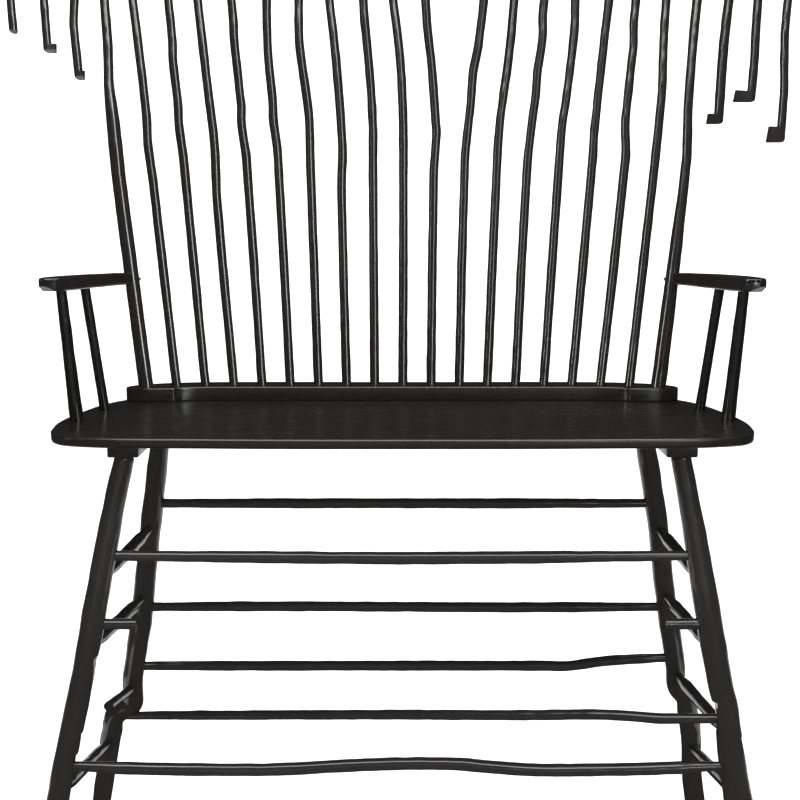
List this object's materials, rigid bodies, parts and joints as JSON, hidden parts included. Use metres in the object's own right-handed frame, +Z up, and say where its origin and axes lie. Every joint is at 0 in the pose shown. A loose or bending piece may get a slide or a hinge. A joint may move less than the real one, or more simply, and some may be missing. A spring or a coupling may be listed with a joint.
{
  "type": "spindle-back armchair",
  "caption": "Settee-wide, bar-height stick-back armchair: bow-front plank seat, fan of crooked spindles under a crest rail, paddle arms, splayed crooked legs with stretchers.",
  "frame": {"origin": "on the floor, under the middle of the object's box", "axes": "+Z up, the sitter faces -Y, +X to the right for someone who looks at the front"},
  "size_m": [1.5004, 0.584, 1.6016],
  "materials": {
    "seat_paint": "satin black paint",
    "back_paint": "satin black paint over hand-shaved rods",
    "arm_paint": "satin black paint, smoothed by hands",
    "peg_paint": "black paint",
    "leg_paint": "satin black paint over hewn legs"
  },
  "bodies": {
    "root": {"arm_left": "arm_paint", "arm_peg_left": "peg_paint", "arm_peg_right": "peg_paint", "arm_post_left": "back_paint", "arm_post_right": "back_paint", "arm_right": "arm_paint", "arm_spindle_left": "back_paint", "arm_spindle_right": "back_paint", "back_post_left": "back_paint", "back_post_right": "back_paint", "cleat_left": "seat_paint", "cleat_right": "seat_paint", "crest_rail": "back_paint", "cross_stretcher": "leg_paint", "drop_spindle_left_1": "back_paint", "drop_spindle_left_2": "back_paint", "drop_spindle_left_3": "back_paint", "drop_spindle_right_1": "back_paint", "drop_spindle_right_2": "back_paint", "drop_spindle_right_3": "back_paint", "front_stretcher_lower": "leg_paint", "front_stretcher_upper": "leg_paint", "leg_front_left": "leg_paint", "leg_front_right": "leg_paint", "leg_peg_left": "leg_paint", "leg_peg_rear": "leg_paint", "leg_peg_right": "leg_paint", "leg_rear_left": "leg_paint", "leg_rear_right": "leg_paint", "rear_stretcher_lower": "leg_paint", "rear_stretcher_middle": "leg_paint", "rear_stretcher_upper": "leg_paint", "seat_plank": "seat_paint", "side_stretcher_left_1": "leg_paint", "side_stretcher_left_2": "leg_paint", "side_stretcher_left_3": "leg_paint", "side_stretcher_right_1": "leg_paint", "side_stretcher_right_2": "leg_paint", "side_stretcher_right_3": "leg_paint", "side_stretcher_right_4": "leg_paint", "spindle_01": "back_paint", "spindle_02": "back_paint", "spindle_03": "back_paint", "spindle_04": "back_paint", "spindle_05": "back_paint", "spindle_06": "back_paint", "spindle_07": "back_paint", "spindle_08": "back_paint", "spindle_09": "back_paint", "spindle_10": "back_paint", "spindle_11": "back_paint", "spindle_12": "back_paint", "spindle_13": "back_paint", "spindle_14": "back_paint", "spindle_15": "back_paint", "spindle_16": "back_paint", "spindle_17": "back_paint", "spindle_riser": "seat_paint"}
  },
  "joints": []
}
